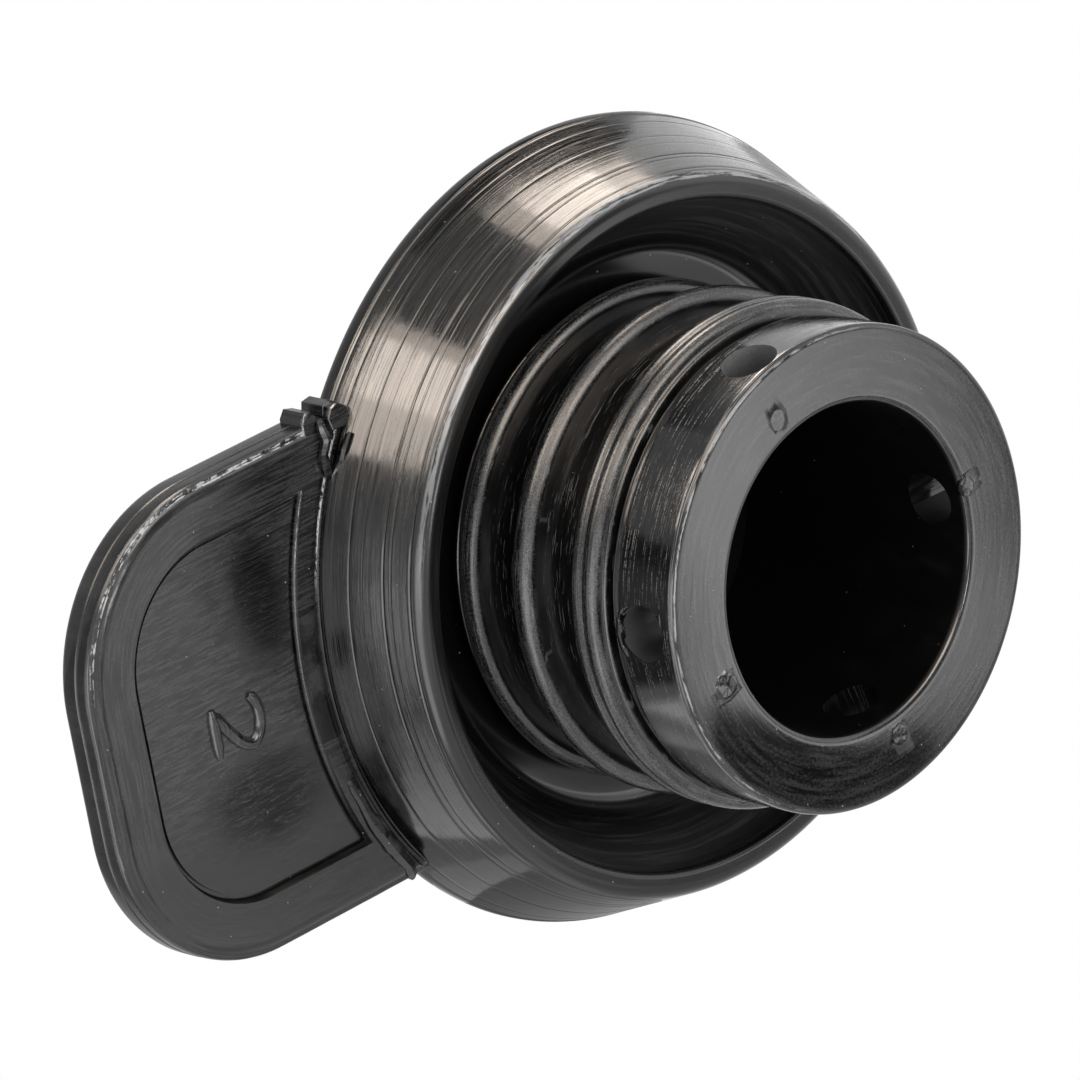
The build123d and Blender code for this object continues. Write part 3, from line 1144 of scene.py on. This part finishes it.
def finish_cap(cap):
    """Gives every face its finish and the cap its smooth and sharp edges."""
    mesh = cap.data
    mesh.materials.clear()
    names = list(FINISHES)
    for name in names:
        mesh.materials.append(rubber(name, *FINISHES[name]))
    for face in mesh.polygons:
        face.material_index = names.index(zone(face.center / MM, face.normal))
        face.use_smooth = True
    mesh.set_sharp_from_angle(angle=math.radians(SHARP_ANGLE))
    weighted = cap.modifiers.new("even_normals", "WEIGHTED_NORMAL")
    weighted.keep_sharp = True
    weighted.weight = 50
    apply_modifiers(cap)


# Studio


def glowing(name, colour, strength):
    """A material that only gives light. The colour may be made by its nodes."""
    material, nodes = new_material(name)
    colour = colour(nodes) if callable(colour) else (*colour, 1)
    shader = nodes.node("ShaderNodeEmission", inputs={"Color": colour, "Strength": strength})
    nodes.node("ShaderNodeOutputMaterial", inputs={"Surface": shader})
    return material


def floor_colour(nodes):
    """White with the faintest cloud in it."""
    place, _ = nodes.position()
    cloud = nodes.noise(place, 0.02)
    return nodes.mix_colour(cloud, (1.0, 1.0, 1.0, 1), (0.995, 0.995, 0.995, 1))


def floor():
    """A floor that is lit evenly from below, so that it shows no shadow."""
    mesh = bpy.data.meshes.new("floor")
    mesh.from_pydata([(-3, -3, 0), (3, -3, 0), (3, 3, 0), (-3, 3, 0)], [], [(0, 1, 2, 3)])
    mesh.materials.append(glowing("pale_floor", floor_colour, 1.0))
    place_object("floor", mesh)


def card(name, corners, strength, tint=WHITE, faces=None):
    """A studio card that is only seen in reflections. Corners are in millimetres."""
    mesh = bpy.data.meshes.new(name)
    mesh.from_pydata([Vector(c) * MM for c in corners], [], faces or [tuple(range(len(corners)))])
    mesh.materials.append(glowing(name, tint, strength))
    made = place_object(name, mesh)
    made.visible_camera = False
    made.visible_diffuse = False
    made.visible_transmission = False
    made.visible_shadow = False


def level_card(name, outline, height, strength):
    """A flat card over or on the floor."""
    card(name, [(x, y, height) for x, y in outline], strength)


def far_card(name, azimuths, elevations, strength, tint):
    """A card that fills a part of the surroundings."""
    (left, right), (low, high) = azimuths, elevations
    corners = []
    for azimuth, elevation in ((left, low), (right, low), (right, high), (left, high)):
        a, e = math.radians(azimuth), math.radians(elevation)
        corner = Vector((math.cos(a) * math.cos(e), math.sin(a) * math.cos(e), math.sin(e)))
        corners.append(corner * FAR_DISTANCE)
    card(name, corners, strength, tint)


def upright_card(name, foot, strength):
    """A bent warm card that stands on the floor along its foot."""
    corners = [(x, y, FLOOR_LEVEL) for x, y in foot]
    corners += [(x, y, WALL_CARD_HEIGHT) for x, y in foot[::-1]]
    count = len(corners)
    faces = [(i, i + 1, count - 2 - i, count - 1 - i) for i in range(len(foot) - 1)]
    card(name, corners, strength, WARM, faces)


def softbox(name, height, size, radiance):
    """A square soft light over the object, given by the radiance of its face."""
    light = bpy.data.lights.new(name, "AREA")
    light.shape = "SQUARE"
    light.size = size * MM
    light.energy = radiance * math.pi * (size * MM) ** 2
    made = place_object(name, light)
    made.location.z = height * MM
    made.visible_camera = False
    made.visible_glossy = False


def world(level, mirrored):
    """Even surroundings, brighter where they are seen in a reflection."""
    made = bpy.data.worlds.new("studio")
    made.use_nodes = True
    nodes = Nodes(made.node_tree)
    in_gloss = nodes.node("ShaderNodeLightPath", output="Is Glossy Ray")
    strength = level + in_gloss * (mirrored - level)
    look = {"Color": (1, 1, 1, 1), "Strength": strength}
    shader = nodes.node("ShaderNodeBackground", inputs=look)
    nodes.node("ShaderNodeOutputWorld", inputs={"Surface": shader})
    bpy.context.scene.world = made


def camera():
    """Long lens over the tip, rolled as in the photograph."""
    data = bpy.data.cameras.new("camera")
    data.lens = CAMERA_LENS
    data.sensor_width = CAMERA_SENSOR
    data.clip_start = 0.05
    made = place_object("camera", data)
    axes = (Vector(CAMERA_RIGHT), -Vector(CAMERA_DOWN), -Vector(CAMERA_AHEAD))
    turn = Matrix(axes).transposed().to_4x4()
    made.matrix_world = Matrix.Translation(Vector(CAMERA_PLACE) * MM) @ turn
    bpy.context.scene.camera = made


def light_studio():
    """Floor, surroundings, soft light and cards."""
    floor()
    world(0.3, 1.5)
    softbox("overhead_softbox", 450, 500, 4.0)
    for row in OVERHEAD_CARDS:
        level_card(*row)
    for row in FAR_CARDS:
        far_card(*row)
    level_card("table_shade", TABLE_SHADE, 0.2, 0.7)
    for row in WALL_CARDS:
        upright_card(*row)
    for row in FLOOR_CARDS:
        level_card(*row)


cap = build_cap()
finish_cap(cap)
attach(cap, "root")
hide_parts("oil_filler_cap")

light_studio()
camera()
bpy.context.scene.view_settings.view_transform = "Standard"
